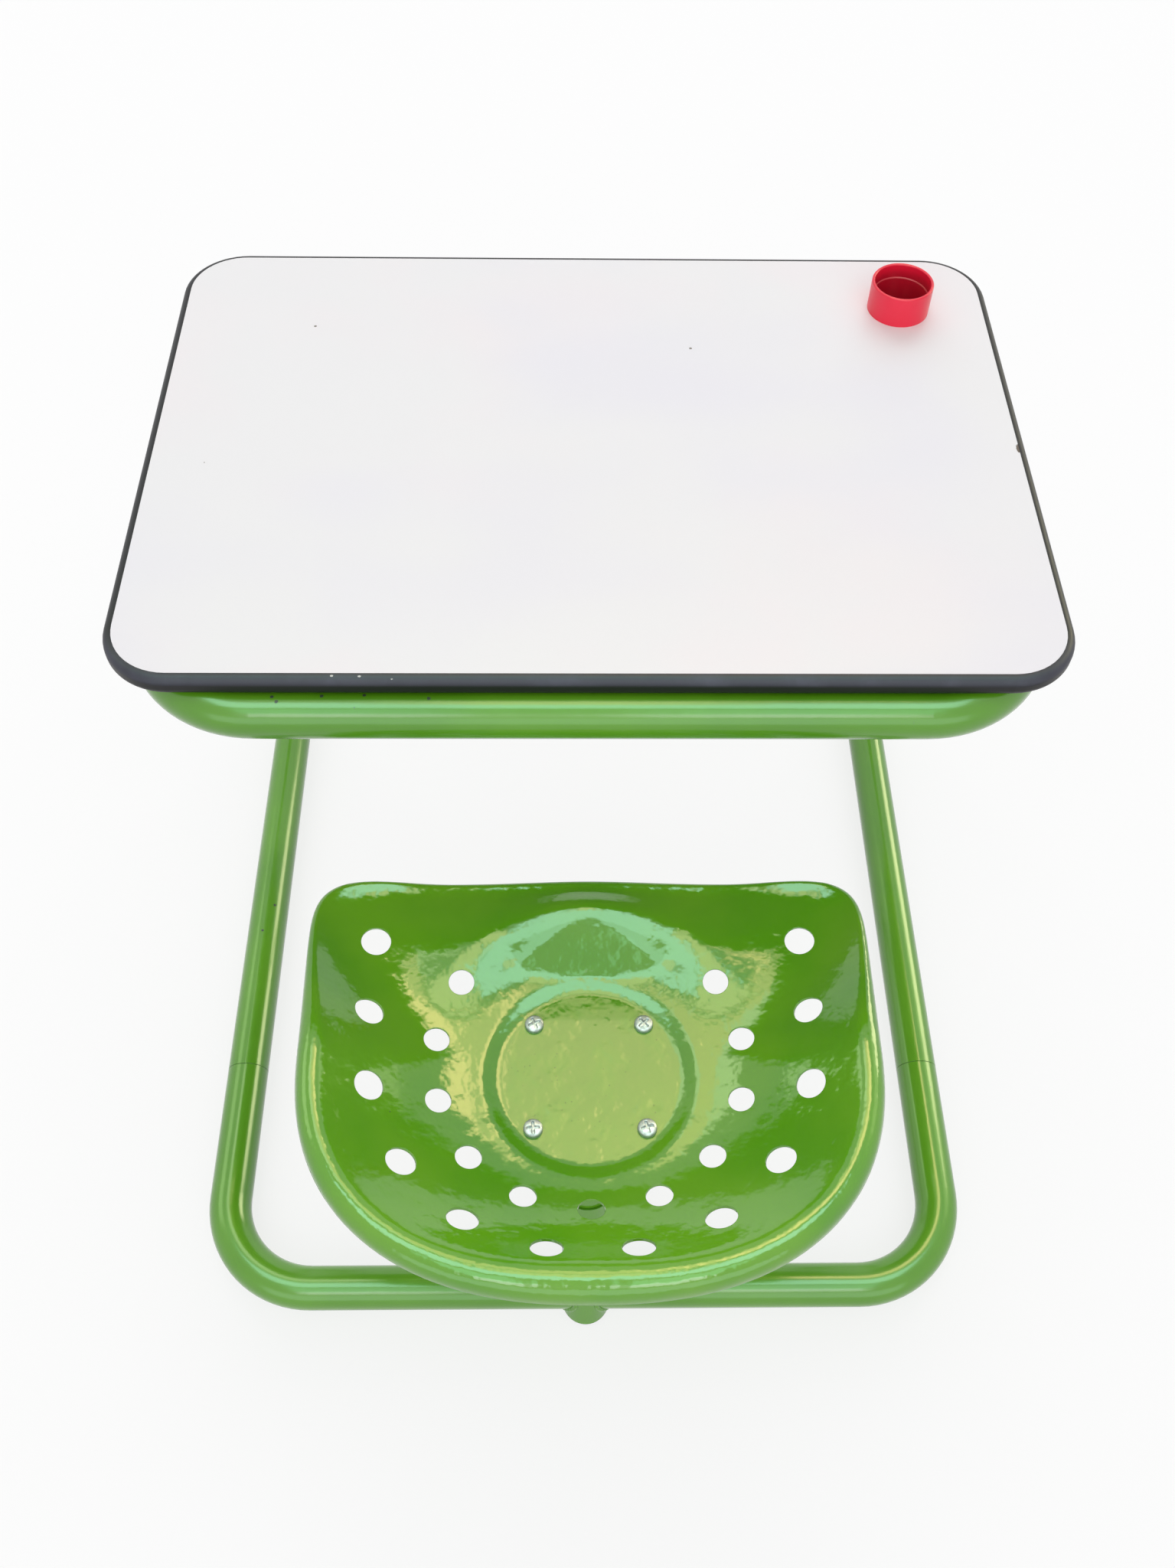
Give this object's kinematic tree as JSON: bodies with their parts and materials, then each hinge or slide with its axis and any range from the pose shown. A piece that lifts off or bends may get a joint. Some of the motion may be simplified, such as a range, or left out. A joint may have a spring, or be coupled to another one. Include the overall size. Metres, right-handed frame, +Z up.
{
  "type": "kids desk",
  "caption": "Child's desk on a bent steel tube frame: laminated top with a let-in pencil cup, and a punched pressed-steel seat on a leaning post that slides in height.",
  "frame": {"origin": "on the floor, under the middle of the desk's overall length and width", "axes": "+X to the sitter's right, +Y from the seat to the far edge of the top, +Z up"},
  "size_m": [0.706, 0.8623, 0.5776],
  "materials": {
    "green_enamel": "gloss",
    "zinc_steel": "satin",
    "glide_plastic": "matt",
    "chipboard": "raw",
    "white_laminate": "satin",
    "backing_sheet": "matt",
    "dark_edging": "satin",
    "red_plastic": "gloss"
  },
  "bodies": {
    "frame": {"floor_loop": "green_enamel", "top_loop": "green_enamel", "left_side_frame": "green_enamel", "right_side_frame": "green_enamel", "seat_post": "green_enamel", "clamp_nut": "green_enamel", "left_floor_spigot": "zinc_steel", "right_floor_spigot": "zinc_steel", "left_top_spigot": "zinc_steel", "right_top_spigot": "zinc_steel", "joint_screws": "zinc_steel", "top_screws": "zinc_steel", "top_inserts": "zinc_steel", "clamp_screw": "zinc_steel", "near_left_glide": "glide_plastic", "near_right_glide": "glide_plastic", "far_left_glide": "glide_plastic", "far_right_glide": "glide_plastic", "table_core": "chipboard", "top_laminate": "white_laminate", "backing_laminate": "backing_sheet", "edge_trim": "dark_edging"},
    "seat": {"seat_stem": "green_enamel", "seat_plate": "green_enamel", "seat_pan": "green_enamel", "seat_screws": "zinc_steel", "seat_washers": "zinc_steel", "seat_nuts": "zinc_steel"},
    "cup": {"pencil_cup": "red_plastic"}
  },
  "joints": [
    {"name": "seat_height", "type": "slide", "parent": "frame", "child": "seat", "axis": [0, 0.309, 0.9511], "range_m": [0, 0.05]},
    {"name": "cup_lift", "type": "slide", "parent": "frame", "child": "cup", "axis": [0, 0, 1], "range_m": [0, 0.1]}
  ]
}
